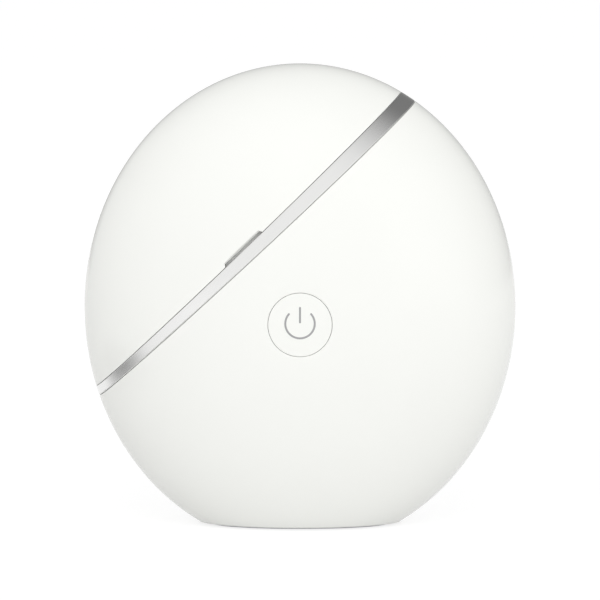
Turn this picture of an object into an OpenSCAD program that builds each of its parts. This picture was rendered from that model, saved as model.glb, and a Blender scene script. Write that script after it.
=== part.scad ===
// Facial toning device: an upright white pebble cut by a slanted metal band. The part above the band is a
// pull-off cap over a head with two ball electrodes. Millimetres, Z up, front towards -Y, origin at the
// middle of the base.

/* [Body] */
// Width of the pebble
body_w = 96; // [92:1:100]
// Height of the whole oval outline, before its foot is cut off
outline_h = 108.8; // [106:0.2:112]
// Thickness of the pebble from front to back
body_d = 40; // [38:1:44]
// Height of the widest line above the table
waist_z = 48.7; // [47.5:0.1:49.7]
// Wall of the two body shells and of the cap
wall = 2; // [1.7:0.1:2.3]

/* [Head] */
// Tilt of the cap's edge from level, in degrees
head_tilt = 44; // [41:0.5:47]
// Distance from the middle of the pebble to the cap's edge
head_dist = 19.1; // [18.3:0.1:19.9]
// Width of the metal band at its middle
band_w = 2.7; // [2.5:0.1:3.3]
// Widening of the band towards its upper end, in degrees
band_taper = 1; // [0.6:0.1:1.3]
// Width of the band's top face around the deck
band_rim = 2.4; // [2:0.1:2.8]
// Thickness of the deck's flange, which sits in the band
flange_t = 1.2; // [1:0.1:1.4]
// Height of the spigot that the cap slides over
spigot_h = 4.6; // [4:0.1:5.4]
// Wall of the spigot
spigot_wall = 1.4; // [1.2:0.1:1.8]

/* [Cap] */
// Visible gap between the cap and the band
cap_gap = 0.25; // [0.2:0.05:0.35]
// Length of the fingernail notch at the cap's edge
notch_l = 11.3; // [9:0.1:13]
// Height of the fingernail notch
notch_h = 1.25; // [1:0.05:1.5]
// Depth of the fingernail notch
notch_d = 1.5; // [1.2:0.1:1.7]
// Place of the notch's middle along the edge, from the edge's own middle
notch_x = 0.7; // [-1:0.1:2]

/* [Electrodes] */
// Diameter of each ball
ball_d = 16; // [14:0.5:17]
// Distance between the two balls, centre to centre
ball_pitch = 32; // [28:0.5:34]
// Height of the balls' necks above the deck
neck_h = 5; // [4:0.25:5.5]
// Diameter of the threaded tails
tail_d = 4; // [3.5:0.1:4.2]

/* [Button] */
// Diameter of the power button
button_d = 13.7; // [12:0.1:14.5]
// Height of the button's centre above the table
button_z = 47.4; // [46:0.2:48.6]
// Travel of the button
button_travel = 0.5; // [0.3:0.05:0.6]
// Gap around the button
button_gap = 0.25; // [0.15:0.05:0.35]

/* [Charging socket] */
// Diameter of the bore that takes the plug's nose
socket_d = 8; // [7:0.1:8.6]
// Height of the socket above the table
socket_z = 13; // [12.5:0.1:13.5]
// Diameter of the jack's barrel hole
barrel_d = 3.6; // [3:0.1:4]

/* [Base] */
// Height of the shells' underside above the table
sole_z = 0.6; // [0.4:0.1:0.9]
// Thickness of the foot pad
pad_t = 1.5; // [1.2:0.1:1.7]
// Width of the shells' rim around the foot pad
pad_rim = 2.5; // [2:0.1:3]
// Thickness of the shells' floor under the chassis, above the foot pad
floor_t = 2.5; // [2.3:0.1:2.9]

/* [Inside] */
// Length of the battery cell
cell_l = 44; // [38:1:47]
// Width of the battery cell
cell_w = 22; // [20:0.5:23]
// Thickness of the battery cell
cell_t = 7; // [5:0.5:8]
// Thickness of the chassis plate
plate_t = 2; // [1.6:0.1:2.4]
// Radius of the main board
board_r = 30; // [28:0.5:31]
// Thickness of the circuit boards
board_t = 1.6; // [1:0.2:1.8]
// Diameter of the screws
screw_d = 2; // [1.8:0.1:2.3]
// Diameter of the magnets
magnet_d = 6; // [5:0.25:6.5]
// Thickness of the magnets
magnet_t = 1.6; // [1.2:0.1:1.8]
// Diameter of the inner wires
wire_d = 1.2; // [0.9:0.1:1.4]

/* [Fits] */
// Clearance between the cap's liner and the spigot
slide_fit = 0.2; // [0.15:0.05:0.3]
// Clearance between fixed pieces that plug together
plug_fit = 0.15; // [0.1:0.05:0.2]
// Clearance of screws and tails in their holes
hole_fit = 0.1; // [0.05:0.05:0.15]
// Glue line between pieces that are bonded
glue = 0.05; // [0.03:0.01:0.08]

/* [Hidden] */
$fn = 96;

big = 160;                          // larger than the whole part
half_w = body_w / 2;
half_d = body_d / 2;
half_h = outline_h / 2;
body_tilt = head_tilt - band_taper; // tilt of the shells' mouth
mouth_dist = head_dist - band_w;    // distance from the pebble's centre to the shells' mouth

// A plane cuts an ellipsoid in an ellipse. For a pebble whose walls are moved in by inset, and a plane at
// the head's tilt and a distance from the pebble's centre, these give that ellipse's half length, half
// depth and the place of its centre along the plane.
function reach(inset) = norm([(half_w - inset) * sin(head_tilt), (half_h - inset) * cos(head_tilt)]);
function cut_share(inset, dist) = sqrt(1 - pow(dist / reach(inset), 2));
function cut_l(inset, dist) = (half_w - inset) * (half_h - inset) / reach(inset) * cut_share(inset, dist);
function cut_d(inset, dist) = (half_d - inset) * cut_share(inset, dist);
function cut_x(inset, dist) =
    dist * sin(head_tilt) * cos(head_tilt)
    * (pow(half_h - inset, 2) - pow(half_w - inset, 2)) / pow(reach(inset), 2);

// Depth of the pebble's surface at a place on its front, as a distance from the middle plane
function skin_y(inset, x, z) =
    (half_d - inset) * sqrt(1 - pow(x / (half_w - inset), 2) - pow((z - waist_z) / (half_h - inset), 2));

// Half width and half depth of the pebble at a height
function level_x(inset, z) = (half_w - inset) * sqrt(1 - pow((z - waist_z) / (half_h - inset), 2));
function level_y(inset, z) = (half_d - inset) * sqrt(1 - pow((z - waist_z) / (half_h - inset), 2));

// Ovals of the head, each [half length, half depth, centre]
function oval(inset, dist, grow = 0) =
    [cut_l(inset, dist) + grow, cut_d(inset, dist) + grow, cut_x(inset, dist)];
function grown(o, by) = [o[0] + by, o[1] + by, o[2]];
ledge_w = 2;                        // width of the band's ledge under the deck's flange
ledge_t = 2.2;                      // thickness of that ledge
skirt_t = 1.4;                      // wall of the band's skirt inside the shells
skirt_n = -8;                       // level of the skirt's lower edge
liner_min = 0.8;                    // thinnest wall of the cap's liner
recess_oval = oval(band_rim, head_dist);
hole_oval = grown(recess_oval, -ledge_w);
skirt_oval = oval(wall + plug_fit + 0.1, mouth_dist + half_w * sin(band_taper));
spigot_oval = grown(oval(wall + glue, head_dist + spigot_h + 0.4), -liner_min - slide_fit);
head_x = spigot_oval[2];            // middle of the head along the band

// Levels of the head's pieces, measured from the cap's edge
deck_n = -3;                        // underside of the deck
flange_n = -10;                     // top of the chassis flange, which the deck's posts stand on
flange_plate_t = 2;
liner_h = spigot_h + 0.4;
magnet_wall = 0.9;                  // wall of the cap's posts around its magnets
magnet_gap = 2;                     // room between those posts and the spigot
magnet_x = spigot_oval[0] - spigot_wall - magnet_gap - magnet_wall - magnet_d / 2;   // from the middle of the head
post_r = 2.8;                       // the deck's four screw posts
post_x = magnet_x - magnet_d / 2 - 2.2 - post_r;
post_y = 7;
post_n = flange_n;
flange_x = post_x + 6;              // half length and half width of the chassis flange
flange_w = post_y + 4;
magnet_skin = 0.8;                  // plastic left over each deck magnet
seal_t = 0.6;
tag_t = 0.4;
nut_t = 2.4;
ball_n = neck_h + seal_t + ball_d / 2 + 0.2;

// Depths of the inner pieces, from the middle plane
stand_h = 4;                        // standoffs between the chassis and the main board
board_y = -plate_t / 2 - stand_h;   // back face of the main board
board_face = board_y - board_t;     // front face of the main board
board_n = -14;                      // the board's top edge
switch_h = 3.5;
switch_w = 6;
plunger_h = 1.5;
plunger_y = board_face - switch_h - plunger_h;
flange_r = button_d / 2 + 1.5;      // the button's retaining flange, behind the shell's wall
flange_y = skin_y(wall, flange_r, button_z) - 0.1;
floor_top = pad_t + floor_t;
head_r = screw_d * 0.95;            // screw heads
head_t = screw_d * 0.65;
pilot_r = screw_d / 2;
shank_r = screw_d / 2 - glue;
boss_r = screw_d / 2 + 1.9;
base_screw = [13, 4.5];             // the base screws, one towards the front and one towards the back
base_boss_h = 8;
foam_t = 0.5;
cell_end = board_r - 5;             // upper end of the battery along the head
cell_x = cell_end - cell_l;         // its lower end
cell_n = flange_n - flange_plate_t - 1.2;   // the battery's upper side
rib_t = 1.2;
rib_h = 3;
board_stands = [[-24, -23.6], [24, -23.6], [0, -44.6]];   // along the head, and level
charge_w = 18;
charge_z = [6, 18.5];
jack_w = 9;
jack_h = 8;
jack_y = 9.3;                       // face of the jack
collar_y = jack_y + 0.3;            // inner end of the socket's collar
socket_floor_y = level_y(0, socket_z - socket_d / 2 - 1.2) - 0.6;   // floor of the round recess

module pebble(inset = 0)
    translate([0, 0, waist_z])
        scale([half_w - inset, half_d - inset, half_h - inset])
            sphere(1);

// Frames: the cap's edge, and the mouth of the shells
module in_head() translate([0, 0, waist_z]) rotate([0, -head_tilt, 0]) translate([0, 0, head_dist]) children();
module in_mouth() translate([0, 0, waist_z]) rotate([0, -body_tilt, 0]) translate([0, 0, mouth_dist]) children();
module above_cap_edge(n = 0) in_head() translate([-big / 2, -big / 2, n]) cube(big);
module below_cap_edge(n = 0) in_head() translate([-big / 2, -big / 2, n - big]) cube(big);
module above_mouth() in_mouth() translate([-big / 2, -big / 2, 0]) cube(big);
module below_mouth() in_mouth() translate([-big / 2, -big / 2, -big]) cube(big);
// side is -1 for the front half and 1 for the back half
module half_space(side) translate([-big, side < 0 ? -2 * big : 0, -big]) cube(2 * big);
module above_level(z) translate([-big / 2, -big / 2, z]) cube(big);
module below_level(z) translate([-big / 2, -big / 2, z - big]) cube(big);

// A straight oval block in the head's frame, between two levels
module oval_block(o, low, high)
    translate([o[2], 0, low])
        linear_extrude(high - low)
            scale([o[0], o[1]])
                rotate(25)
                    circle(1);

// Lies along Y, from y0 to y1
module rod_y(r, y0, y1) translate([0, y1, 0]) rotate([90, 0, 0]) cylinder(r = r, h = y1 - y0);

module box(low, high) translate(low) cube(high - low);

// A screw that points up, with its head below level 0
module screw(length) {
    cylinder(r = shank_r, h = length);
    translate([0, 0, -head_t]) cylinder(r = head_r, h = head_t);
}

// A bent wire through a list of points
module wire(points) {
    for (i = [0:len(points) - 2]) {
        step = points[i + 1] - points[i];
        translate(points[i])
            rotate([0, acos(step[2] / norm(step)), atan2(step[1], step[0])])
                cylinder(r = wire_d / 2, h = norm(step), $fn = 24);
    }
    for (i = [1:len(points) - 2]) translate(points[i]) sphere(wire_d * 0.55, $fn = 24);
}

// ---- Body ----

// A ring along the rim, between two insets
module rim_ring(outer, inner, y0, y1)
    translate([0, y1, waist_z])
        rotate([90, 0, 0])
            linear_extrude(y1 - y0)
                difference() {
                    scale([half_w - outer, half_h - outer]) rotate(25) circle(1);
                    scale([half_w - inner, half_h - inner]) rotate(25) circle(1);
                }

tongue_in = [0.7, 1.3];
tongue_h = 1;

// The lower edge turns under in a slanted face
sole_ring = [level_x(0, sole_z), level_y(0, sole_z)];
module sole_edge_cut()
    difference() {
        below_level(sole_z + 1.5);
        translate([0, 0, sole_z])
            scale([sole_ring[0], sole_ring[1], 1])
                cylinder(r1 = 0.94, r2 = 1.09, h = 1.6);
    }

pad_oval = [sole_ring[0] - pad_rim, sole_ring[1] - pad_rim];
module pad_block(grow, low, high)
    translate([0, 0, low])
        linear_extrude(high - low)
            scale([pad_oval[0] + grow, pad_oval[1] + grow])
                rotate(25)
                    circle(1);

module base_screw_hole() {
    translate([0, 0, -1]) cylinder(r = shank_r + hole_fit, h = floor_top + 2);
    translate([0, 0, -1]) cylinder(r = head_r + hole_fit, h = 1 + pad_t + head_t + glue);
}

module half_shell(side)
    difference() {
        intersection() {
            pebble();
            below_mouth();
            above_level(sole_z);
            half_space(side);
        }
        intersection() {
            pebble(wall);
            above_level(floor_top);
        }
        sole_edge_cut();
        pad_block(plug_fit, 0, pad_t);
        translate([side * base_screw[0], side * base_screw[1], 0]) base_screw_hole();
    }

module front_shell()
    color("whitesmoke")
        difference() {
            half_shell(-1);
            translate([0, 0, button_z]) rod_y(button_d / 2 + button_gap, -big, 0);
            rim_ring(tongue_in[0] - 0.1, tongue_in[1] + 0.1, -tongue_h - 0.3, 1);
        }

module rear_shell()
    color("whitesmoke")
        difference() {
            union() {
                half_shell(1);
                intersection() {
                    rim_ring(tongue_in[0], tongue_in[1], -tongue_h, 0.5);
                    below_mouth();
                    above_level(floor_top);
                }
                intersection() {
                    translate([0, 0, socket_z]) rod_y(socket_d / 2 + 2.6, collar_y, half_d);
                    pebble(wall / 2);
                }
            }
            translate([0, 0, socket_z]) rod_y(socket_d / 2, 0, big);
            translate([0, 0, socket_z]) rod_y(socket_d / 2 + 1.2, socket_floor_y, big);
        }

module foot_pad()
    color("lightgray")
        intersection() {
            pad_block(0, -1, pad_t + 1);
            box([-half_w, -half_d, 0], [half_w, half_d, pad_t]);
        }

// ---- Band and head ----

module trim_ring()
    color("silver")
        difference() {
            union() {
                for (side = [-1, 1])
                    intersection() {
                        pebble();
                        half_space(side);
                        above_mouth();
                        below_cap_edge();
                    }
                in_head() oval_block(skirt_oval, skirt_n, -flange_t - 0.3);
            }
            in_head() oval_block(recess_oval, -flange_t, 1);
            in_head() oval_block(hole_oval, skirt_n - 1, 0);
            in_head() oval_block(grown(skirt_oval, -skirt_t), skirt_n - 1, -flange_t - ledge_t);
        }

module head_deck()
    color("white")
        in_head()
            difference() {
                union() {
                    oval_block(grown(recess_oval, -plug_fit), -flange_t, 0);
                    oval_block(grown(hole_oval, -plug_fit), deck_n, -flange_t / 2);
                    difference() {
                        oval_block(spigot_oval, -flange_t / 2, spigot_h);
                        oval_block(grown(spigot_oval, -spigot_wall), 0, spigot_h + 1);
                    }
                    for (side = [-1, 1])
                        translate([head_x + side * ball_pitch / 2, 0, -0.5])
                            cylinder(r1 = ball_d * 0.42, r2 = ball_d * 0.28, h = neck_h + 0.5);
                    for (x = [-1, 1], y = [-1, 1])
                        translate([head_x + x * post_x, y * post_y, post_n])
                            cylinder(r = post_r, h = deck_n - post_n + 0.5);
                }
                for (side = [-1, 1]) {
                    translate([head_x + side * ball_pitch / 2, 0, deck_n - 1])
                        cylinder(r = tail_d / 2 + hole_fit, h = neck_h - deck_n + 2);
                    translate([head_x + side * magnet_x, 0, deck_n - 1])
                        cylinder(r = magnet_d / 2 + hole_fit, h = 1 - deck_n - magnet_skin);
                }
                for (x = [-1, 1], y = [-1, 1])
                    translate([head_x + x * post_x, y * post_y, post_n - 1])
                        cylinder(r = pilot_r, h = 7);
            }

module electrode(side)
    color("gainsboro")
        in_head()
            translate([head_x + side * ball_pitch / 2, 0, 0]) {
                translate([0, 0, ball_n]) sphere(ball_d / 2);
                translate([0, 0, neck_h + seal_t]) cylinder(r = tail_d * 0.9, h = ball_n - neck_h - seal_t);
                translate([0, 0, deck_n - tag_t - nut_t - 0.8])
                    cylinder(r = tail_d / 2, h = ball_n - deck_n + tag_t + nut_t + 0.8);
            }

module electrode_seals()
    color("dimgray")
        in_head()
            for (side = [-1, 1])
                translate([head_x + side * ball_pitch / 2, 0, neck_h])
                    difference() {
                        cylinder(r = tail_d * 0.95, h = seal_t);
                        translate([0, 0, -1]) cylinder(r = tail_d / 2 + hole_fit, h = seal_t + 2);
                    }

module electrode_tags()
    color("goldenrod")
        in_head()
            for (side = [-1, 1])
                translate([head_x + side * ball_pitch / 2, 0, deck_n - tag_t])
                    difference() {
                        union() {
                            cylinder(r = tail_d * 0.9, h = tag_t);
                            box([-1, -tail_d * 1.6, 0], [1, 0, tag_t]);
                        }
                        translate([0, 0, -1]) cylinder(r = tail_d / 2 + hole_fit, h = tag_t + 2);
                    }

module electrode_nuts()
    color("silver")
        in_head()
            for (side = [-1, 1])
                translate([head_x + side * ball_pitch / 2, 0, deck_n - tag_t - nut_t])
                    difference() {
                        cylinder(r = tail_d, h = nut_t, $fn = 6);
                        translate([0, 0, -1]) cylinder(r = tail_d / 2 + glue, h = nut_t + 2);
                    }

module deck_magnets()
    color("darkgray")
        in_head()
            for (side = [-1, 1])
                translate([head_x + side * magnet_x, 0, -magnet_skin - magnet_t])
                    cylinder(r = magnet_d / 2, h = magnet_t);

module deck_screws()
    color("dimgray")
        in_head()
            for (x = [-1, 1], y = [-1, 1])
                translate([head_x + x * post_x, y * post_y, flange_n - flange_plate_t])
                    screw(flange_plate_t + 5);

// ---- Cap ----

// The cut for the fingernail: a slanted ramp over a dark slot, with slanted ends
module notch_cut() {
    edge_y = cut_d(0, head_dist);
    ramp = [
        [-edge_y - 1, notch_h + 0.35], [-edge_y + notch_d * 0.55, notch_h * 0.45],
        [-edge_y + notch_d, notch_h * 0.45], [-edge_y + notch_d, -1], [-edge_y - 1, -1]
    ];
    top_l = notch_l - notch_h;
    in_head()
        translate([cut_x(0, head_dist) + notch_x, 0, 0])
            intersection() {
                rotate([90, 0, 90]) translate([0, 0, -notch_l]) linear_extrude(2 * notch_l) polygon(ramp);
                rotate([90, 0, 0])
                    linear_extrude(big)
                        polygon([
                            [-notch_l / 2, -1], [notch_l / 2, -1], [notch_l / 2, 0],
                            [top_l / 2, notch_h + 0.4], [-top_l / 2, notch_h + 0.4], [-notch_l / 2, 0]
                        ]);
            }
}

module cap_shell()
    color("whitesmoke")
        difference() {
            union()
                for (side = [-1, 1])
                    difference() {
                        intersection() {
                            pebble();
                            half_space(side);
                            above_cap_edge(cap_gap);
                        }
                        pebble(wall);
                    }
            notch_cut();
        }

// Fills the space between the cap's wall and the spigot, and carries the two magnets on posts
module cap_liner()
    color("white")
        difference() {
            intersection() {
                pebble(wall + glue);
                in_head()
                    union() {
                        difference() {
                            oval_block(grown(spigot_oval, 20), 0, liner_h);
                            oval_block(grown(spigot_oval, slide_fit), -1, liner_h + 1);
                        }
                        for (side = [-1, 1])
                            translate([head_x + side * magnet_x, 0, 0]) {
                                translate([0, 0, cap_gap]) cylinder(r = magnet_d / 2 + magnet_wall, h = big);
                                translate([side > 0 ? 0 : -12, -0.8, spigot_h + 0.2]) cube([12, 1.6, 3]);
                            }
                    }
            }
            in_head()
                for (side = [-1, 1])
                    translate([head_x + side * magnet_x, 0, cap_gap - 1])
                        cylinder(r = magnet_d / 2 + hole_fit, h = 1 + magnet_t + glue);
        }

module cap_magnets()
    color("darkgray")
        in_head()
            for (side = [-1, 1])
                translate([head_x + side * magnet_x, 0, cap_gap]) cylinder(r = magnet_d / 2, h = magnet_t);

// ---- Power button ----

module power_button()
    color("whitesmoke") {
        intersection() {
            pebble();
            translate([0, 0, button_z]) rod_y(button_d / 2, -big, -flange_y);
        }
        translate([0, 0, button_z]) {
            rod_y(flange_r, -flange_y, -flange_y + 1);
            rod_y(2.5, -flange_y, plunger_y);
        }
    }

module tact_switch()
    color("dimgray")
        translate([0, 0, button_z])
            difference() {
                box([-switch_w / 2, board_face - switch_h, -switch_w / 2], [switch_w / 2, board_face, switch_w / 2]);
                rod_y(1.75 + hole_fit, board_face - switch_h - 1, board_face - 1);
            }

module switch_plunger()
    color("black")
        translate([0, 0, button_z])
            rod_y(1.75, plunger_y, board_face - 1 - button_travel - 0.3);

// ---- Boards ----

module board_screw_holes(r, y0, y1)
    in_head()
        for (p = board_stands) translate([p[0], 0, p[1]]) rod_y(r, y0, y1);

module main_board()
    color("seagreen")
        difference() {
            intersection() {
                translate([0, 0, waist_z]) rod_y(board_r, board_face, board_y);
                below_cap_edge(board_n);
            }
            board_screw_holes(screw_d / 2 + hole_fit, -half_d, 0);
        }

// Parts on the main board's front face: place along the head, level, size along the head, size down, height
chips = [[-12, -32, 9, 9, 1.2], [10, -37, 7, 5, 1.4], [-19, -20, 5, 4, 1], [19.5, -33, 4, 7, 2], [-9, -41, 8, 4, 1.2]];
module board_chips()
    color("darkslategray")
        in_head()
            for (c = chips)
                translate([c[0] - c[2] / 2, board_face - c[4], c[1] - c[3] / 2]) cube([c[2], c[4], c[3]]);

module boost_coil() {
    color("saddlebrown")
        in_head()
            translate([12, 0, -28])
                difference() {
                    rod_y(3.6, board_face - 4, board_face);
                    rod_y(1.2, board_face - 5, board_face - 0.8);
                }
}

module capacitor() color("slategray") in_head() translate([-20, 0, -31]) rod_y(2.5, board_face - 5.5, board_face);

module buzzer()
    color("black")
        in_head()
            translate([11.5, 0, -18.6])
                difference() {
                    rod_y(3.6, board_face - 3, board_face);
                    rod_y(0.8, board_face - 4, board_face - 1);
                }

module power_led()
    color("lightyellow")
        translate([0, 0, button_z - switch_w / 2 - 2.5])
            box([-1.5, board_face - 1.4, -1], [1.5, board_face, 1]);

module board_screws() {
    color("dimgray")
        in_head()
            for (p = board_stands)
                translate([p[0], board_face, p[1]]) rotate([-90, 0, 0]) screw(board_t + stand_h - 0.5);
    color("dimgray")
        for (side = [-1, 1])
            translate([side * (charge_w / 2 - 2.2), plate_t / 2 + board_t, charge_z[0] + 2.2])
                rotate([90, 0, 0])
                    screw(board_t + plate_t - 0.3);
}

// ---- Chassis and power ----

module battery_frame(grow)
    in_head()
        box(
            [cell_x - grow, plate_t / 2 - 0.5, cell_n - cell_w - grow],
            [cell_end + grow, plate_t / 2 + rib_h, cell_n + grow]
        );

// Where the leads pass the plate: the battery's in the head's frame, the charging ones in the part's own,
// just below the battery's frame
window_r = 1.9;
lead_window = [cell_end + rib_t + window_r + 0.6, cell_n - 8];
charge_window_x = 6.8;
charge_n = head_dist + cell_n - cell_w - plug_fit - rib_t - window_r - 0.4;
charge_window = [
    charge_window_x,
    waist_z + (charge_window_x + charge_n * sin(head_tilt)) * tan(head_tilt) + charge_n * cos(head_tilt)
];

module chassis()
    color("lightsteelblue")
        difference() {
            union() {
                intersection() {
                    translate([0, plate_t / 2, waist_z])
                        rotate([90, 0, 0])
                            linear_extrude(plate_t)
                                scale([half_w - 6, half_h - 6])
                                    rotate(25)
                                        circle(1);
                    below_cap_edge(flange_n - flange_plate_t / 2);
                    above_level(floor_top);
                }
                in_head()
                    box([head_x - flange_x, -flange_w, flange_n - flange_plate_t], [head_x + flange_x, flange_w, flange_n]);
                for (side = [-1, 1])
                    translate([side * base_screw[0], side * base_screw[1], floor_top]) {
                        cylinder(r = boss_r, h = base_boss_h);
                        box([-1.5, side > 0 ? -base_screw[1] : 0, 0], [1.5, side > 0 ? 0 : base_screw[1], base_boss_h]);
                    }
                board_screw_holes(boss_r - 0.4, board_y, 0);
                difference() {
                    battery_frame(plug_fit + rib_t);
                    battery_frame(plug_fit);
                }
            }
            for (side = [-1, 1])
                translate([side * base_screw[0], side * base_screw[1], 0])
                    cylinder(r = pilot_r, h = floor_top + base_boss_h - 1);
            board_screw_holes(pilot_r, board_y - 1, 1);
            in_head() {
                for (x = [-1, 1], y = [-1, 1])
                    translate([head_x + x * post_x, y * post_y, flange_n - flange_plate_t - 1])
                        cylinder(r = shank_r + hole_fit, h = flange_plate_t + 2);
                for (side = [-1, 1])
                    translate([head_x + side * ball_pitch / 2, board_face - 1.8, flange_n - flange_plate_t - 1])
                        cylinder(r = 1.5, h = flange_plate_t + 2);
                translate([lead_window[0], 0, lead_window[1]]) rod_y(window_r, -plate_t, plate_t);
            }
            translate([charge_window[0], 0, charge_window[1]]) rod_y(window_r, -plate_t, plate_t);
            for (side = [-1, 1])
                translate([side * (charge_w / 2 - 2.2), 0, charge_z[0] + 2.2]) rod_y(pilot_r, -plate_t, plate_t);
        }

module base_screws()
    color("dimgray")
        for (side = [-1, 1])
            translate([side * base_screw[0], side * base_screw[1], pad_t + head_t]) screw(floor_t - head_t + 6);

module battery_foam()
    color("gray")
        in_head()
            box(
                [cell_x + 1, plate_t / 2, cell_n - cell_w + 1],
                [cell_end - 1, plate_t / 2 + foam_t, cell_n - 1]
            );

module battery()
    color("silver")
        in_head()
            box(
                [cell_x, plate_t / 2 + foam_t, cell_n - cell_w],
                [cell_end, plate_t / 2 + foam_t + cell_t, cell_n]
            );

module charge_board()
    color("seagreen")
        difference() {
            box([-charge_w / 2, plate_t / 2, charge_z[0]], [charge_w / 2, plate_t / 2 + board_t, charge_z[1]]);
            for (side = [-1, 1])
                translate([side * (charge_w / 2 - 2.2), 0, charge_z[0] + 2.2])
                    rod_y(screw_d / 2 + hole_fit, 0, big);
        }

module charge_jack()
    color("black")
        translate([0, 0, socket_z]) {
            difference() {
                box([-jack_w / 2, plate_t / 2 + board_t, -jack_h / 2], [jack_w / 2, jack_y, jack_h / 2]);
                rod_y(barrel_d / 2, plate_t / 2 + board_t + 1, big);
            }
            rod_y(0.6, plate_t / 2 + board_t + 0.5, jack_y - 0.5);
        }

// ---- Inner wires, each ending just off what it is soldered to ----

module electrode_leads()
    color("crimson")
        in_head()
            for (side = [-1, 1]) {
                x = head_x + side * ball_pitch / 2;
                wire([
                    [x, -tail_d * 1.6 + 0.8, deck_n - tag_t - 0.5], [x, board_face - 2.1, deck_n - 5],
                    [x, board_face - 1.8, board_n - 3], [x, board_face - 0.2, board_n - 3]
                ]);
            }

module battery_leads()
    color("crimson")
        in_head()
            for (side = [-1, 1]) {
                n = lead_window[1] + side * 0.95;
                y = plate_t / 2 + rib_h + 2;
                wire([[cell_end + 0.2, y, n], [lead_window[0], y, n], [lead_window[0], board_y + 0.2, n]]);
            }

module charge_leads()
    color("crimson")
        for (side = [-1, 1]) {
            x = charge_window[0] + side * 0.95;
            y = plate_t / 2 + board_t;
            wire([
                [x, y + 0.2, charge_z[1] - 1.5], [x, y + 2, charge_z[1] - 1.5],
                [x, y + 2, charge_window[1]], [x, board_y + 0.2, charge_window[1]]
            ]);
        }

front_shell();
rear_shell();
trim_ring();
head_deck();
electrode(1);  // upper_electrode
electrode(-1);  // lower_electrode
electrode_seals();
electrode_tags();
electrode_nuts();
deck_magnets();
cap_shell();
cap_liner();
cap_magnets();
power_button();
tact_switch();
switch_plunger();
power_led();
main_board();
board_chips();
boost_coil();
capacitor();
buzzer();
chassis();
battery();
battery_foam();
charge_board();
charge_jack();
foot_pad();
deck_screws();
base_screws();
board_screws();
electrode_leads();
battery_leads();
charge_leads();
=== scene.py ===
"""Looks of an upright, pebble-shaped facial toning device: glossy white shells and pull-off cap, slanted
metal band, power button, and a head with two ball electrodes under the cap.

The skins are worked out in millimetres and made in metres. Each takes the place of one node of the frame and
keeps to its shape, apart from roundings and seams that are too fine for the solids, and the notch's ramp."""

import math

import bmesh
import bpy
import numpy as np
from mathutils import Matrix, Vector
from mathutils.geometry import delaunay_2d_cdt


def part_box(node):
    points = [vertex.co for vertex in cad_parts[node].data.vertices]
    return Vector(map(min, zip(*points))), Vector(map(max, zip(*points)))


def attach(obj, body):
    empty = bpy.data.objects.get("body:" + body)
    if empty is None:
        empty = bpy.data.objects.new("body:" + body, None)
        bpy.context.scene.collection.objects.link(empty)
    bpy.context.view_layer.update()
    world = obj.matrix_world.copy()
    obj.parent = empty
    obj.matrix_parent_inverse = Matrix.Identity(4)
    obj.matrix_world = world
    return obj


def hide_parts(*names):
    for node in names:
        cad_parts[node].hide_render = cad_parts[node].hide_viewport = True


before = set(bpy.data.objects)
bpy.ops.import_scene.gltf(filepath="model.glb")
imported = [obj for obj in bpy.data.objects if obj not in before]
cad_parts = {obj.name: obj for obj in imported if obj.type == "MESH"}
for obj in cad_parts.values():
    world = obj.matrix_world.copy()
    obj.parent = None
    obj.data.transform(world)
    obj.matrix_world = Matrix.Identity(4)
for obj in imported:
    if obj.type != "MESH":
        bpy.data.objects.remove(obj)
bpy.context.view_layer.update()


# ---- Sizes in millimetres and degrees, which follow the part's source ----
HALF_W, HALF_D, HALF_H, WAIST = 48.0, 20.0, 54.4, 48.7  # the pebble's half axes, and its middle's height
WALL = 2.0
TILT, DIST = 44.0, 19.1  # the cap's edge: its slope, and its distance from the pebble's middle
BAND, TAPER = 2.7, 1.0  # the band's width, and how much flatter the shells' mouth lies than the cap's edge
NOTCH_L, NOTCH_H = 11.3, 1.25
BUTTON_R, BUTTON_Z = 6.85, 47.4
FLANGE_OUT, FLANGE_T = 1.5, 1.0  # the button's flange, inside the shell
STEM_R, STEM_Y = 2.5, 11.6
SOCKET_R, SOCKET_Z, SOCKET_Y = 4.0, 13.0, 9.6  # the charging bore, and where it ends inside
DISH = 1.2  # how far the shallow recess reaches round the bore
SOLE, PAD_T, PAD_RIM = 0.6, 1.5, 2.5
PLUG_FIT = 0.15  # play of the foot pad in its recess
BALL_R, NECK, SEAL, TAIL = 8.0, 5.0, 0.6, 4.0
TAIL_END = -3 - 0.4 - 2.4 - 0.8  # the tail goes through the deck, tag and nut

# ---- Sizes that only the looks have ----
CAP_ROUND, SEAM_GAP = 0.12, 0.1  # the upper seam, at the cap's edge
BAND_ROUND, BAND_TOP_ROUND = 0.22, 0.08
MOUTH_ROUND, MOUTH_GAP = 0.22, 0.06  # the lower seam, at the shells' mouth
PARTING_ROUND = 0.13  # the edges where the front and rear shell meet
MOUTH_WALL, PARTING_WALL = 1.2, 1.5  # how far these edges are carried inwards
BASE_ROUND = 0.9
NOTCH_X = -0.7  # the solid's notch is at 0.7
NOTCH_SLOPE, NOTCH_SLOT = 1.7, 0.46  # the slope of its ends, and its slot's share of its height
RING_R, RING_EDGE = BUTTON_R + 0.17, 0.09  # the button's hole, and the rounding of its edge
FACE_R, FACE_EDGE = RING_R - 0.09, 0.08
FLANGE_Y = 17.6
DISH_EDGE, DISH_DEPTH = 0.3, 0.6
ICON_R, ICON_UP, ICON_OPEN = 3.19, 0.3, 49.0  # the sign's ring, and half its opening in degrees
BAR_FROM, BAR_TO = 0.62, 3.75
STROKE, PRINT_T = 0.43, 0.012

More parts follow.
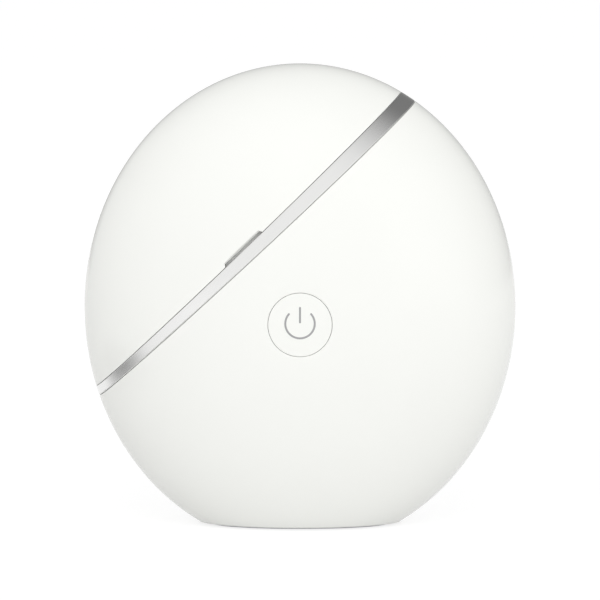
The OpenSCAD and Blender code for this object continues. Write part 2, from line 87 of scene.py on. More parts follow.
# ---- Fineness of the skins ----
LAPS = 384  # points round the cap, the band and the pad
CIRCLE = 192  # points round the button and the holes
BALL_LAPS = 128
SHELL_ROWS, SHELL_COLUMNS = 200, 240
FAN = 0.9  # width of the fine triangles round a hole
CREASE, CUT_CREASE = 32, 28  # degrees from which an edge is sharp
WELD = 1e-5  # in metres

# ---- Studio, in metres ----
CAMERA_AT, CAMERA_EL, AIM_Z = 0.70, 6.8, 0.0505
SENSOR, PIXELS, PIXEL = 36, 600, 0.00022274  # the last is a pixel's width at the device
FLOOR_HALF = 6
FLOOR_BOUNCE, FLOOR_SEEN, FLOOR_GLOW = 0.72, 0.3, 0.79
CLOTH = 0.12  # shade of the dark cloths
DOME_R = 3.0
FLAG_AXIS, FLAG_COVER = (0.5, 0.4, 0.77), 0.9
BACKDROP_AXIS, RING_COVER = (0, 1, -0.118), 0.75
PATCH_AT, PATCH_COVER = (-0.141, -0.045, 0.004), 0.85
PATCH_FULL, PATCH_HALF = 0.012, 0.07  # the patch thins out from the first distance to the second
AMBIENT_AXIS, AMBIENT, AMBIENT_AWAY = (0, -1, -0.45), 1.0, 0.54
LAMP_AIM = (0, 0, 0.05)
LAMPS = {  # place, size and power
    "key": ((-0.45, -1.15, 0.55), (1.1, 1.0), 3.6),
    "fill": ((0.85, -0.95, 0.4), (0.9, 0.9), 3.7),
    "low": ((0.0, -1.2, 0.12), (1.2, 0.2), 0.55),
}


# ---- Geometry of the pebble ----
def section(tilt, h, inset, phi):
    """Points where a plane, tilted about Y and h from the pebble's middle, cuts the pebble."""
    a, d, c = HALF_W - inset, HALF_D - inset, HALF_H - inset
    t = math.radians(tilt)
    s, k = math.sin(t), math.cos(t)
    p = k * k / a**2 + s * s / c**2
    q = s * k * (1 / c**2 - 1 / a**2)
    m = s * s / a**2 + k * k / c**2
    room = max(1 - h * h * (m - q * q / p), 0.0)
    x = -h * q / p + math.sqrt(room / p) * np.cos(phi)
    y = d * math.sqrt(room) * np.sin(phi)
    return np.stack([k * x - s * h, y, WAIST + s * x + k * h], 1)


def normal(pts):
    n = (pts - [0, 0, WAIST]) / np.array([HALF_W, HALF_D, HALF_H]) ** 2
    return n / np.linalg.norm(n, axis=1)[:, None]


def on_skin(x, z, side):
    """Points of the front (side -1) or the back (side 1) at given x and z."""
    y = side * HALF_D * np.sqrt(np.maximum(1 - (x / HALF_W) ** 2 - ((z - WAIST) / HALF_H) ** 2, 0))
    return np.stack([x, y, z], 1)


def at_height(half, z):
    """What is left of the pebble's half width or half depth at a height."""
    return half * math.sqrt(1 - ((z - WAIST) / HALF_H) ** 2)


def reach(inset):
    """How far the pebble reaches along the head's axis."""
    t = math.radians(TILT)
    return math.hypot((HALF_W - inset) * math.sin(t), (HALF_H - inset) * math.cos(t))


def tip(inset):
    """The pebble's farthest point along the head's axis."""
    t = math.radians(TILT)
    a, c, m = HALF_W - inset, HALF_H - inset, reach(inset)
    return [-(a * a) * math.sin(t) / m, 0, WAIST + c * c * math.cos(t) / m]


def head_frame(pts):
    """Points given along the head, across it, and above the cap's edge."""
    pts = np.asarray(pts, float)
    t = math.radians(TILT)
    x, y, n = pts[:, 0], pts[:, 1], pts[:, 2] + DIST
    return np.stack([x * math.cos(t) - n * math.sin(t), y, WAIST + x * math.sin(t) + n * math.cos(t)], 1)


def unit(v):
    return v / np.maximum(np.linalg.norm(v, axis=1)[:, None], 1e-12)


def rounded(base, n, out, r, steps=5):
    """Rows that carry an edge over in a quarter arc, from the surface with normal n towards out."""
    rows = []
    for i in range(1, steps + 1):
        a = math.pi / 2 * i / steps
        rows.append(base + out * r * math.sin(a) - n * r * (1 - math.cos(a)))
    return rows


def edge_rows(base, beyond, r):
    """Rounds an edge of the pebble's skin on the way to the row beyond it."""
    return rounded(base, normal(base), unit(beyond - base), r)


def circle(r, x0, z0):
    a = np.linspace(0, 2 * math.pi, CIRCLE, endpoint=False)
    return x0 + r * np.cos(a), z0 + r * np.sin(a)


def flat_circle(r, y, x0, z0):
    """A circle at depth y that faces the front."""
    x, z = circle(r, x0, z0)
    return np.stack([x, np.full_like(x, y), z], 1)


# ---- Meshes ----
def add_object(name, data):
    obj = bpy.data.objects.new(name, data)
    bpy.context.scene.collection.objects.link(obj)
    return obj


def clean_up(mesh, weld=False):
    """Turns the faces outwards, after joining points that meet if weld is set."""
    bm = bmesh.new()
    bm.from_mesh(mesh)
    if weld:
        bmesh.ops.remove_doubles(bm, verts=bm.verts, dist=WELD)
    bmesh.ops.recalc_face_normals(bm, faces=bm.faces)
    bm.to_mesh(mesh)
    bm.free()


def shade_smooth(mesh, crease):
    mesh.polygons.foreach_set("use_smooth", [True] * len(mesh.polygons))
    mesh.set_sharp_from_angle(angle=math.radians(crease))


class Skin:
    """A mesh gathered from rows of points."""

    def __init__(self):
        self.v, self.f, self.count = [], [], 0

    def add(self, pts):
        start = self.count
        self.v.append(np.asarray(pts, float))
        self.count += len(pts)
        return start

    def grid(self, rows, close=False):
        """Joins rows into a surface, and gives where each row starts."""
        starts = [self.add(r) for r in rows]
        n = len(rows[0])
        for a, b in zip(starts, starts[1:]):
            for j in range(n if close else n - 1):
                self.f.append((a + j, a + (j + 1) % n, b + (j + 1) % n, b + j))
        return starts

    def cap_end(self, start, n, point):
        """Closes a round row with triangles that meet in a point."""
        middle = self.add([point])
        self.f += [(start + j, start + (j + 1) % n, middle) for j in range(n)]

    def object(self, name, material, body, *nodes, slot=None):
        mesh = bpy.data.meshes.new(name)
        mesh.from_pydata((np.concatenate(self.v) * 0.001).tolist(), [], self.f)
        mesh.validate()
        obj = add_object(name, mesh)
        clean_up(mesh, weld=True)
        shade_smooth(mesh, CREASE)
        mesh.materials.append(material)
        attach(obj, body)
        if nodes:
            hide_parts(*nodes)
        return obj


def face_out(obj):
    """Turns an open skin's faces so that they look away from the pebble's middle."""
    middle = np.array([0, 0, WAIST]) * 0.001
    total = sum((np.array(p.center) - middle) @ np.array(p.normal) * p.area for p in obj.data.polygons)
    if total < 0:
        obj.data.flip_normals()


# ---- Materials ----
def noise(nt, scale, detail=2.0, stretch=None):
    tex = nt.nodes.new("ShaderNodeTexNoise")
    tex.inputs["Scale"].default_value = scale
    tex.inputs["Detail"].default_value = detail
    place = nt.nodes.new("ShaderNodeTexCoord").outputs["Object"]
    if stretch:
        mapping = nt.nodes.new("ShaderNodeMapping")
        mapping.inputs["Scale"].default_value = stretch["scale"]
        mapping.inputs["Rotation"].default_value = stretch["rotation"]
        nt.links.new(place, mapping.inputs["Vector"])
        place = mapping.outputs["Vector"]
    nt.links.new(place, tex.inputs["Vector"])
    return tex.outputs["Fac"]


def spread(nt, value, low, high, start=0.3, end=0.7, kind="LINEAR"):
    """Turns the stretch from start to end of a value into the one from low to high."""
    node = nt.nodes.new("ShaderNodeMapRange")
    node.interpolation_type = kind
    for socket, v in (("From Min", start), ("From Max", end), ("To Min", low), ("To Max", high)):
        node.inputs[socket].default_value = v
    nt.links.new(value, node.inputs["Value"])
    return node.outputs["Result"]


def tint(nt, value, first, second):
    mix = nt.nodes.new("ShaderNodeMix")
    mix.data_type = "RGBA"
    mix.inputs["A"].default_value = (*first, 1)
    mix.inputs["B"].default_value = (*second, 1)
    nt.links.new(value, mix.inputs["Factor"])
    return mix.outputs["Result"]


def bump(nt, bsdf, value, strength, distance):
    node = nt.nodes.new("ShaderNodeBump")
    node.inputs["Strength"].default_value = strength
    node.inputs["Distance"].default_value = distance
    nt.links.new(value, node.inputs["Height"])
    nt.links.new(node.outputs["Normal"], bsdf.inputs["Normal"])


def finish(name, colour, rough, vary=0.03, scale=90.0, grain=2600.0, depth=0.000004, metal=0.0,
           shade=0.97, stretch=None, **more):
    """A moulded, plated or printed finish: cloudy roughness, a slight drift of colour and a fine grain."""
    m = bpy.data.materials.new(name)
    m.use_nodes = True
    nt = m.node_tree
    bsdf = nt.nodes["Principled BSDF"]
    bsdf.inputs["Base Color"].default_value = (*colour, 1)
    bsdf.inputs["Roughness"].default_value = rough
    bsdf.inputs["Metallic"].default_value = metal
    for socket, v in more.items():
        bsdf.inputs[socket.replace("_", " ")].default_value = v
    cloud = noise(nt, scale, 3.0)
    nt.links.new(spread(nt, cloud, rough - vary, rough + vary), bsdf.inputs["Roughness"])
    drift = noise(nt, scale * 0.35)
    dark = tuple(c * shade for c in colour)
    nt.links.new(tint(nt, spread(nt, drift, 0.0, 1.0), colour, dark), bsdf.inputs["Base Color"])
    bump(nt, bsdf, noise(nt, grain, stretch=stretch), 0.25, depth)
    return m


WHITE = finish("white_gloss", (0.894, 0.9, 0.868), 0.2, shade=0.985, Coat_Weight=0.25, Coat_Roughness=0.06)
DECK = finish("white_satin", (0.88, 0.88, 0.87), 0.34, shade=0.98)
BAND_METAL = finish("plated_band", (0.84, 0.84, 0.83), 0.22, vary=0.035, metal=1.0, grain=900.0,
                    depth=0.000002, stretch={"scale": (0.12, 1, 1), "rotation": (0, math.radians(TILT), 0)})
CHROME = finish("polished_chrome", (0.8, 0.8, 0.81), 0.09, vary=0.02, metal=1.0, grain=1500.0,
                depth=0.0000006)
PAD = finish("silicone_pad", (0.66, 0.66, 0.69), 0.6, depth=0.00001, grain=1800.0)
ICON = finish("icon_print", (0.36, 0.36, 0.365), 0.42, vary=0.06)
DARK = finish("moulded_black", (0.03, 0.03, 0.032), 0.45, depth=0.000008)
SILICONE = finish("grey_silicone", (0.6, 0.6, 0.62), 0.55, depth=0.00001)
BOARD = finish("solder_mask", (0.02, 0.16, 0.07), 0.35, shade=0.8, grain=1400.0)
STEEL = finish("zinc_plate", (0.5, 0.5, 0.5), 0.32, metal=1.0, depth=0.000006)
BRASS = finish("stamped_brass", (0.72, 0.55, 0.24), 0.3, metal=1.0)
FOIL = finish("pouch_foil", (0.6, 0.61, 0.63), 0.36, metal=0.9, grain=500.0, depth=0.00003)
FOAM = finish("foam_tape", (0.06, 0.06, 0.065), 0.9, grain=1500.0, depth=0.00004)
CHASSIS = finish("chassis_plastic", (0.62, 0.64, 0.66), 0.5, depth=0.000012)
FERRITE = finish("ferrite", (0.07, 0.06, 0.055), 0.6, grain=1800.0, depth=0.00002)
WIRE = finish("wire_jacket", (0.45, 0.02, 0.02), 0.4)
LENS = finish("led_lens", (0.85, 0.85, 0.7), 0.15)

WORN_BY = (
    (WHITE, "front_shell rear_shell cap_shell power_button"),
    (DECK, "head_deck cap_liner"),
    (BAND_METAL, "trim_ring"),
    (CHROME, "upper_electrode lower_electrode"),
    (PAD, "foot_pad"),
    (DARK, "tact_switch switch_plunger board_chips buzzer charge_jack"),
    (SILICONE, "electrode_seals"),
    (BOARD, "main_board charge_board"),
    (STEEL, "electrode_nuts deck_magnets cap_magnets deck_screws base_screws board_screws"),
    (BRASS, "electrode_tags"),
    (FOIL, "capacitor battery"),
    (FOAM, "battery_foam"),
    (CHASSIS, "chassis"),
    (FERRITE, "boost_coil"),
    (WIRE, "electrode_leads battery_leads charge_leads"),
    (LENS, "power_led"),
)
LOOKS = {node: look for look, nodes in WORN_BY for node in nodes.split()}
for node_name, node_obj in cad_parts.items():
    look = LOOKS[node_name]
    if node_obj.material_slots:
        for place in node_obj.material_slots:
            place.material = look
    else:
        node_obj.data.materials.append(look)

# ---- Cap: outer skin, rounded edge, flat end face, inner skin ----
AROUND = np.linspace(0, 2 * math.pi, LAPS, endpoint=False)


def dome_rows(inset, low, steps):
    """Rows from near the tip down to the plane at low."""
    top = reach(inset)
    edge = math.acos(low / top)
    return [section(TILT, top * math.cos(edge * i / steps), inset, AROUND) for i in range(1, steps + 1)]


def cap_skin():
    skin = Skin()
    low = DIST + SEAM_GAP
    outer = dome_rows(0, low + CAP_ROUND, 110)
    outer += edge_rows(outer[-1], section(TILT, low, 0, AROUND), CAP_ROUND)
    inner = dome_rows(WALL, low, 40)
    starts = skin.grid(outer + inner[::-1], close=True)
    skin.cap_end(starts[0], LAPS, tip(0))
    skin.cap_end(starts[-1], LAPS, tip(WALL))
    return skin.object("cap_skin", WHITE, "cap", "cap_shell")


def notch_cutter():
    """The fingernail notch's shape: a scooped ramp over a slot through the wall, with slanted ends."""
    edge_y = HALF_D * math.sqrt(1 - (DIST / reach(0)) ** 2)
    t = math.radians(TILT)
    mid = DIST * math.sin(t) * math.cos(t) * (HALF_H**2 - HALF_W**2) / reach(0) ** 2 + NOTCH_X
    slot = NOTCH_H * NOTCH_SLOT
    deep = WALL + 0.3
    # (depth behind the skin, height above the cap's edge), from the open in front of the skin and back to it
    profile = ((-1, NOTCH_H + 1.8), (0.15, NOTCH_H - 0.2), (0.4, NOTCH_H - 0.45), (0.75, slot), (deep, slot),
               (deep, 0), (deep, -1), (-1, -1), (-1, 0))
    pts = [(mid + side * (NOTCH_L / 2 - max(n, 0) / NOTCH_SLOPE), y - edge_y, n)
           for side in (-1, 1) for y, n in profile]
    k = len(profile)
    faces = [(i, (i + 1) % k, k + (i + 1) % k, k + i) for i in range(k)]
    ends = ((5, 4, 3, 2, 1, 0, 8), (8, 7, 6, 5))  # above the cap's edge, where it slants, and below
    faces += [*ends, *(tuple(k + i for i in end[::-1]) for end in ends)]
    mesh = bpy.data.meshes.new("notch_cutter")
    mesh.from_pydata((head_frame(pts) * 0.001).tolist(), [], faces)
    clean_up(mesh)
    return add_object("notch_cutter", mesh)


def cut_notch(obj):
    cutter = notch_cutter()
    mod = obj.modifiers.new("notch", "BOOLEAN")
    mod.operation, mod.solver, mod.object = "DIFFERENCE", "EXACT", cutter
    graph = bpy.context.evaluated_depsgraph_get()
    cut = bpy.data.meshes.new_from_object(obj.evaluated_get(graph))
    obj.modifiers.remove(mod)
    obj.data = cut
    bpy.data.objects.remove(cutter)
    shade_smooth(cut, CUT_CREASE)


cut_notch(cap_skin())


# ---- Band between the cap and the body ----
def band_row(s, extra=0.0):
    """s runs from 0 at the shells' mouth to 1 at the cap's edge."""
    return section(TILT - TAPER * (1 - s), DIST - BAND * (1 - s) + extra, 0, AROUND)


def band_skin():
    skin = Skin()
    low, high = band_row(0, BAND_ROUND), band_row(1, -BAND_TOP_ROUND)
    face = [low] + [band_row(s) for s in np.linspace(0, 1, 15)[1:-1]] + [high]
    down = edge_rows(low, band_row(0), BAND_ROUND)
    up = edge_rows(high, band_row(1), BAND_TOP_ROUND)
    inner_low = section(TILT - TAPER, DIST - BAND, 3.0, AROUND)
    inner_high = section(TILT, DIST, 2.4, AROUND)
    skin.grid([inner_low] + down[::-1] + face + up + [inner_high], close=True)
    skin.object("band_skin", BAND_METAL, "body", "trim_ring")


band_skin()

# ---- Body shells, swept by planes that turn about one line from the base to the mouth ----
MOUTH = math.radians(TILT - TAPER)
BASE_Z = SOLE + 0.42 * BASE_ROUND  # where the skin starts to turn under
PIVOT_X = (math.cos(MOUTH) * (BASE_Z - WAIST) - (DIST - BAND - MOUTH_GAP - MOUTH_ROUND)) / math.sin(MOUTH)


def swept(tilt, side):
    """One shell's row in a plane, from parting edge to parting edge."""
    t = math.radians(tilt)
    h = -math.sin(t) * PIVOT_X + math.cos(t) * (BASE_Z - WAIST)
    half = section(tilt, h, 0, np.array([math.pi / 2]))[0, 1]
    lean = math.asin(min(PARTING_ROUND / half, 0.5))
    return section(tilt, h, 0, side * np.linspace(lean, math.pi - lean, SHELL_COLUMNS))


def ordered(edges):
    """The edges of a closed loop, one after the other."""
    follow = {a: b for a, b in edges}
    first = at = next(iter(follow))
    loop = []
    while not loop or at != first:
        loop.append((at, follow[at]))
        at = follow[at]
    return loop


def inside(loop, x, z):
    hit = False
    for (x1, z1), (x2, z2) in zip(loop, loop[1:] + loop[:1]):
        if (z1 > z) != (z2 > z) and x < (x2 - x1) * (z - z1) / (z2 - z1) + x1:
            hit = not hit
    return hit


def grid_with_hole(skin, rows, x0, z0, keep, ring):
    """Adds a grid of rows, in which the faces near (x0, z0) make way for fine triangles up to the ring."""
    n = len(rows[0])
    pts = np.concatenate(rows)
    start = skin.add(pts)
    near = np.hypot(pts[:, 0] - x0, pts[:, 2] - z0) < keep
    edges = {}  # the outline of the faces left out, in order
    for i in range(len(rows) - 1):
        for j in range(n - 1):
            q = (i * n + j, i * n + j + 1, (i + 1) * n + j + 1, (i + 1) * n + j)
            if not near[list(q)].any():
                skin.f.append(tuple(start + k for k in q))
                continue
            for a, b in zip(q, q[1:] + q[:1]):
                if (b, a) in edges:
                    del edges[(b, a)]
                else:
                    edges[(a, b)] = True
    rim_ids = sorted({k for e in edges for k in e})
    index = {k: i for i, k in enumerate(rim_ids)}
    flat = [(pts[k, 0], pts[k, 2]) for k in rim_ids] + [(p[0], p[2]) for p in ring]
    flat = np.float32(flat).astype(float).tolist()  # as the triangulation sees them
    m, count = len(rim_ids), len(ring)
    lines = [(index[a], index[b]) for a, b in edges]
    lines += [(m + i, m + (i + 1) % count) for i in range(count)]
    result = delaunay_2d_cdt([Vector(p) for p in flat], lines, [], 0, 1e-9)
    triangles, home = result[2], [ids[0] if ids else None for ids in result[3]]
    ring_start = skin.add(ring)
    rim = [flat[index[a]] for a, b in ordered(edges)]
    hole_r = np.hypot(ring[0][0] - x0, ring[0][2] - z0) * 0.9999
    for triangle in triangles:
        ids = [home[i] for i in triangle]
        if None in ids:
            continue
        x, z = (sum(flat[i][axis] for i in ids) / 3 for axis in (0, 1))
        if math.hypot(x - x0, z - z0) >= hole_r and inside(rim, x, z):
            skin.f.append(tuple(start + rim_ids[i] if i < m else ring_start + i - m for i in ids))


def hole_wall(skin, side, x0, z0, r, edge, levels):
    """The rounded lip and the wall of a round hole; levels are (radius, depth) rows after the lip."""
    base = on_skin(*circle(r + edge, x0, z0), side)
    rows = [base] + edge_rows(base, on_skin(*circle(r, x0, z0), side), edge)
    rows += [flat_circle(radius, side * y, x0, z0) for radius, y in levels]
    skin.grid(rows, close=True)
    return base


def add_mouth(skin, top):
    """The rounded lip under the band, and the wall behind it."""
    down = -np.array([-math.sin(MOUTH), 0, math.cos(MOUTH)])
    n_top = normal(top)
    along = unit(-(down - (n_top @ down)[:, None] * n_top))
    lip = rounded(top, n_top, along, MOUTH_ROUND)
    skin.grid([top] + lip + [lip[-1] - n_top * MOUTH_WALL])


def add_base(skin, foot, side):
    """An arc from the skin's normal to straight down, then the sole and the pad's recess."""
    n_foot = normal(foot)
    arc = []
    for i in range(1, 9):
        a = math.pi / 2 * i / 8
        way = unit(n_foot * math.cos(a) + np.array([0, 0, -1]) * math.sin(a))
        arc.append(foot - n_foot * BASE_ROUND + way * BASE_ROUND)
    arc[-1][:, 2] = SOLE
    width, depth = (at_height(half, SOLE) - PAD_RIM + PLUG_FIT for half in (HALF_W, HALF_D))
    f = side * np.linspace(0.006, math.pi - 0.006, len(foot))
    pad_ring = np.stack([width * np.cos(f), depth * np.sin(f), np.full_like(f, SOLE)], 1)
    skin.grid([foot] + arc + [pad_ring, pad_ring + [0, 0, PAD_T - SOLE]])


def add_parting(skin, edge, side):
    """One of the two rounded edges where the shells meet."""
    n_edge = normal(edge)
    across = np.array([0, -side, 0.0])
    way = unit(across - (n_edge @ across)[:, None] * n_edge)
    lips = rounded(edge, n_edge, way, PARTING_ROUND, 4)
    skin.grid([edge] + lips + [lips[-1] - n_edge * PARTING_WALL])


def shell(side, name, node, z0, r, edge, levels):
    """One shell, with a round hole on the middle line at height z0."""
    skin = Skin()
    rows = [swept(t, side) for t in np.linspace(0, TILT - TAPER, SHELL_ROWS)]
    ring = hole_wall(skin, side, 0, z0, r, edge, levels)
    grid_with_hole(skin, rows, 0, z0, r + edge + FAN, ring)
    add_mouth(skin, rows[-1])
    add_base(skin, rows[0], side)
    for column in (0, -1):
        add_parting(skin, np.array([row[column] for row in rows]), side)
    face_out(skin.object(name, WHITE, "body", node))


shell(-1, "front_skin", "front_shell", BUTTON_Z, RING_R, RING_EDGE, [(RING_R, FLANGE_Y + 0.1)])
DISH_R = SOCKET_R + DISH
DISH_Y = at_height(HALF_D, SOCKET_Z - SOCKET_R - DISH) - DISH_DEPTH
shell(1, "rear_skin", "rear_shell", SOCKET_Z, DISH_R, DISH_EDGE, [
    (DISH_R, DISH_Y + 0.15), (DISH_R - 0.15, DISH_Y), (SOCKET_R + 0.2, DISH_Y), (SOCKET_R, DISH_Y - 0.2),
    (SOCKET_R, SOCKET_Y), (SOCKET_R + 0.4, SOCKET_Y)])


# ---- Power button: crowned face flush with the shell, rounded edge, flange, stem ----
def button_skin():
    skin = Skin()
    rows = [on_skin(*circle(r, 0, BUTTON_Z), -1) for r in np.linspace(0.35, FACE_R - FACE_EDGE, 30)]
    rows += edge_rows(rows[-1], on_skin(*circle(FACE_R, 0, BUTTON_Z), -1), FACE_EDGE)
    flange_r, flange_end = BUTTON_R + FLANGE_OUT, FLANGE_Y - FLANGE_T
    for r, y in ((FACE_R, FLANGE_Y), (flange_r, FLANGE_Y), (flange_r, flange_end), (STEM_R, flange_end),
                 (STEM_R, STEM_Y), (0.4, STEM_Y)):
        rows.append(flat_circle(r, -y, 0, BUTTON_Z))
    starts = skin.grid(rows, close=True)
    skin.cap_end(starts[0], CIRCLE, on_skin(np.array([0.0]), np.array([BUTTON_Z]), -1)[0])
    skin.cap_end(starts[-1], CIRCLE, [0, -STEM_Y, BUTTON_Z])
    skin.object("button_skin", WHITE, "button", "power_button")


button_skin()


# ---- Power sign: an open ring with a bar, printed on the button ----
def print_line(skin, path):
    """A thin printed line along a path of (x, z) points, with round ends, on the button's face."""
    path = np.array(path, float)
    tangent = unit(np.gradient(path, axis=0))
    side = np.stack([-tangent[:, 1], tangent[:, 0]], 1)
    ends = []
    for end, sign in ((0, -1), (-1, 1)):
        ends.append([(path[end] + sign * tangent[end] * STROKE / 2 * math.sin(a), side[end] * math.cos(a))
                     for a in np.linspace(math.pi / 2, 0, 6)[:-1]])
    rows = []
    for middle, across in ends[0] + list(zip(path, side)) + ends[1][::-1]:
        pts = middle + across * (np.linspace(-1, 1, 7) * STROKE / 2)[:, None]
        face = on_skin(pts[:, 0], pts[:, 1], -1)
        rows.append(face + normal(face) * PRINT_T)
    skin.grid(rows)


power_sign = Skin()
sweep = np.radians(np.linspace(90 + ICON_OPEN, 450 - ICON_OPEN, 90))
print_line(power_sign, [(ICON_R * math.cos(a), BUTTON_Z + ICON_UP + ICON_R * math.sin(a)) for a in sweep])
print_line(power_sign, [(0, z) for z in np.linspace(BUTTON_Z + BAR_FROM, BUTTON_Z + BAR_TO, 16)])
face_out(power_sign.object("power_sign", ICON, "button", slot="power_button"))


# ---- Ball electrodes ----
def electrode(name, node):
    ball_n = NECK + SEAL + BALL_R + 0.2
    top = head_frame([(0, 0, ball_n)])[0]
    # the ball's place along the head, from the node's own box: its upper side is the ball's
    x_head = (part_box(node)[1][2] * 1000 - BALL_R - top[2]) / math.sin(math.radians(TILT))
    neck_r = TAIL * 0.9
    open_angle = math.asin(neck_r / BALL_R)
    joint_n = ball_n - BALL_R * math.cos(open_angle)
    seat_n = NECK + SEAL
    # (radius, height above the cap's edge), from the top of the ball to the end of its tail
    profile = [(BALL_R * math.sin(b), ball_n + BALL_R * math.cos(b))
               for b in np.linspace(0.02, math.pi - open_angle - 0.03, 90)]
    profile += [(neck_r + 0.12, joint_n - 0.1), (neck_r, joint_n - 0.25), (neck_r, seat_n + 0.15),
                (neck_r - 0.15, seat_n), (TAIL / 2, seat_n), (TAIL / 2, TAIL_END + 0.3),
                (TAIL / 2 - 0.3, TAIL_END)]
    a = np.linspace(0, 2 * math.pi, BALL_LAPS, endpoint=False)
    rows = [head_frame(np.stack([x_head + r * np.cos(a), r * np.sin(a), np.full_like(a, n)], 1))
            for r, n in profile]
    skin = Skin()
    starts = skin.grid(rows, close=True)
    for start, n in ((starts[0], ball_n + BALL_R), (starts[-1], TAIL_END)):
        skin.cap_end(start, BALL_LAPS, head_frame([(x_head, 0, n)])[0])
    skin.object(name, CHROME, "body", node)


electrode("upper_ball", "upper_electrode")
electrode("lower_ball", "lower_electrode")


# ---- Foot pad: oval, with a small rounded lower edge ----
def foot_skin():
    skin = Skin()
    width, depth = (at_height(half, SOLE) - PAD_RIM for half in (HALF_W, HALF_D))
    rows = []
    for inset, z in ((0, PAD_T), (0, 0.25), (0.03, 0.13), (0.1, 0.05), (0.22, 0.0), (1.2, 0.0)):
        x, y = (width - inset) * np.cos(AROUND), (depth - inset) * np.sin(AROUND)
        rows.append(np.stack([x, y, np.full_like(x, z)], 1))
    starts = skin.grid(rows, close=True)
    skin.cap_end(starts[0], LAPS, [0, 0, PAD_T])
    skin.cap_end(starts[-1], LAPS, [0, 0, 0])
    skin.object("foot_skin", PAD, "body", "foot_pad")


foot_skin()


# ---- Studio: floor, cloths that only reflections see, world, lamps and camera ----
def stage_piece(name, mesh, look):
    mesh.materials.append(look)
    obj = add_object(name, mesh)
    return obj


def square(name, half):
    corners = [(-half, -half, 0), (half, -half, 0), (half, half, 0), (-half, half, 0)]
    mesh = bpy.data.meshes.new(name)
    mesh.from_pydata(corners, [], [(0, 1, 2, 3)])
    return mesh


def node_math(nt, operation, *values, clamp=False):
    node = nt.nodes.new("ShaderNodeMath")
    node.operation, node.use_clamp = operation, clamp
    for i, v in enumerate(values):
        if isinstance(v, (int, float)):
            node.inputs[i].default_value = v
        else:
            nt.links.new(v, node.inputs[i])
    return node.outputs[0]


def vector_math(nt, operation, value):
    node = nt.nodes.new("ShaderNodeVectorMath")
    node.operation = operation
    nt.links.new(value, node.inputs[0])
    return node


def toward(nt, position, axis):
    """Cosine of the angle between a place, seen from the origin, and an axis."""
    dot = vector_math(nt, "DOT_PRODUCT", vector_math(nt, "NORMALIZE", position).outputs[0])
    dot.inputs[1].default_value = Vector(axis).normalized()
    return dot.outputs["Value"]


def seen_directly(nt):
    """1 for camera, glossy and transmission rays, else 0."""
    path = nt.nodes.new("ShaderNodeLightPath")
    first = node_math(nt, "MAXIMUM", path.outputs["Is Camera Ray"], path.outputs["Is Glossy Ray"])
    return node_math(nt, "MAXIMUM", first, path.outputs["Is Transmission Ray"])


def bare_material(name):
    """A new material, its nodes, and the output that is its only node."""
    m = bpy.data.materials.new(name)
    m.use_nodes = True
    m.node_tree.nodes.clear()
    return m, m.node_tree, m.node_tree.nodes.new("ShaderNodeOutputMaterial")


def pale_floor():
    m, nt, output = bare_material("pale_floor")
    seen = seen_directly(nt)
    diffuse = nt.nodes.new("ShaderNodeBsdfDiffuse")
    nt.links.new(spread(nt, seen, FLOOR_BOUNCE, FLOOR_SEEN, 0.0, 1.0), diffuse.inputs["Color"])
    glow = nt.nodes.new("ShaderNodeEmission")
    nt.links.new(node_math(nt, "MULTIPLY", seen, FLOOR_GLOW), glow.inputs["Strength"])
    add = nt.nodes.new("ShaderNodeAddShader")
    nt.links.new(diffuse.outputs[0], add.inputs[0])
    nt.links.new(glow.outputs[0], add.inputs[1])
    nt.links.new(add.outputs[0], output.inputs[0])
    return m


def cloth_material(name, cover):
    """Dark cloth that thins out: cover(nt, position) gives how much of it there is at a point."""
    m, nt, output = bare_material(name)
    clear = nt.nodes.new("ShaderNodeBsdfTransparent")
    cloth = nt.nodes.new("ShaderNodeEmission")
    cloth.inputs["Color"].default_value = (CLOTH, CLOTH, CLOTH, 1)
    mix = nt.nodes.new("ShaderNodeMixShader")
    coord = nt.nodes.new("ShaderNodeTexCoord")
    nt.links.new(cover(nt, coord.outputs["Object"]), mix.inputs[0])
    nt.links.new(clear.outputs[0], mix.inputs[1])
    nt.links.new(cloth.outputs[0], mix.inputs[2])
    nt.links.new(mix.outputs[0], output.inputs[0])
    return m


def dome_cover(nt, position):
    """Dark above the right end, and a dark ring round the backdrop that the camera sees."""
    high = spread(nt, toward(nt, position, FLAG_AXIS), 0.0, FLAG_COVER, 0.05, 0.93, "SMOOTHSTEP")
    back = toward(nt, position, BACKDROP_AXIS)
    ring = node_math(nt, "MULTIPLY", spread(nt, back, 0.0, RING_COVER, 0.45, 0.92, "SMOOTHSTEP"),
                     spread(nt, back, 1.0, 0.0, 0.985, 0.995, "SMOOTHSTEP"))
    return node_math(nt, "MAXIMUM", high, ring, clamp=True)


def patch_cover(nt, position):
    away = vector_math(nt, "LENGTH", position).outputs["Value"]
    return spread(nt, away, PATCH_COVER, 0.0, PATCH_FULL, PATCH_HALF, "SMOOTHSTEP")


def only_in_reflections(obj):
    obj.visible_camera = obj.visible_diffuse = obj.visible_transmission = obj.visible_shadow = False


def dome_mesh():
    bm = bmesh.new()
    bmesh.ops.create_icosphere(bm, subdivisions=4, radius=DOME_R)
    mesh = bpy.data.meshes.new("dark_dome")
    bm.to_mesh(mesh)
    bm.free()
    return mesh


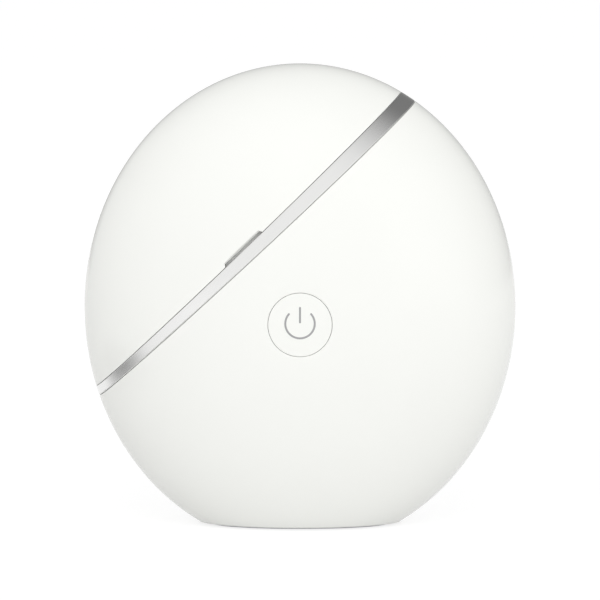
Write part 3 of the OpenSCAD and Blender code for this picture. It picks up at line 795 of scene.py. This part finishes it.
stage_piece("floor", square("floor", FLOOR_HALF), pale_floor())
only_in_reflections(stage_piece("dark_dome", dome_mesh(), cloth_material("dark_dome", dome_cover)))
patch = stage_piece("dark_patch", square("dark_patch", PATCH_HALF), cloth_material("dark_patch", patch_cover))
patch.location = PATCH_AT
only_in_reflections(patch)


def studio_world():
    """White where it is seen or mirrored. As light, it is strongest from low in front."""
    world = bpy.data.worlds.new("studio")
    bpy.context.scene.world = world
    world.use_nodes = True
    nt = world.node_tree
    nt.nodes.clear()
    output = nt.nodes.new("ShaderNodeOutputWorld")
    back = nt.nodes.new("ShaderNodeBackground")
    back.inputs["Color"].default_value = (1, 1, 1, 1)
    way = nt.nodes.new("ShaderNodeTexCoord").outputs["Generated"]
    level = spread(nt, toward(nt, way, AMBIENT_AXIS), AMBIENT_AWAY, AMBIENT, -1.0, 1.0)
    seen = seen_directly(nt)
    unseen = node_math(nt, "MULTIPLY", level, node_math(nt, "SUBTRACT", 1.0, seen))
    nt.links.new(node_math(nt, "ADD", unseen, seen), back.inputs["Strength"])
    nt.links.new(back.outputs[0], output.inputs[0])


def aim(obj, at, target):
    obj.location = at
    obj.rotation_euler = (Vector(target) - Vector(at)).to_track_quat("-Z", "Y").to_euler()


def lamp(name, at, size, power):
    data = bpy.data.lights.new(name, "AREA")
    data.shape = "RECTANGLE"
    data.size, data.size_y = size
    data.energy = power
    obj = add_object(name, data)
    aim(obj, at, LAMP_AIM)
    obj.visible_glossy = False  # plated and glossy faces show the studio, not the lamps


studio_world()
for lamp_name, (at, size, power) in LAMPS.items():
    lamp(lamp_name, at, size, power)

cam = bpy.data.cameras.new("camera")
cam.sensor_width = SENSOR
cam.lens = SENSOR * CAMERA_AT / (PIXELS * PIXEL)
cam.clip_start = 0.01
cam_obj = add_object("camera", cam)
rise = math.radians(CAMERA_EL)
aim(cam_obj, (0, -CAMERA_AT * math.cos(rise), AIM_Z + CAMERA_AT * math.sin(rise)), (0, 0, AIM_Z))
bpy.context.scene.camera = cam_obj
bpy.context.scene.view_settings.view_transform = "Standard"
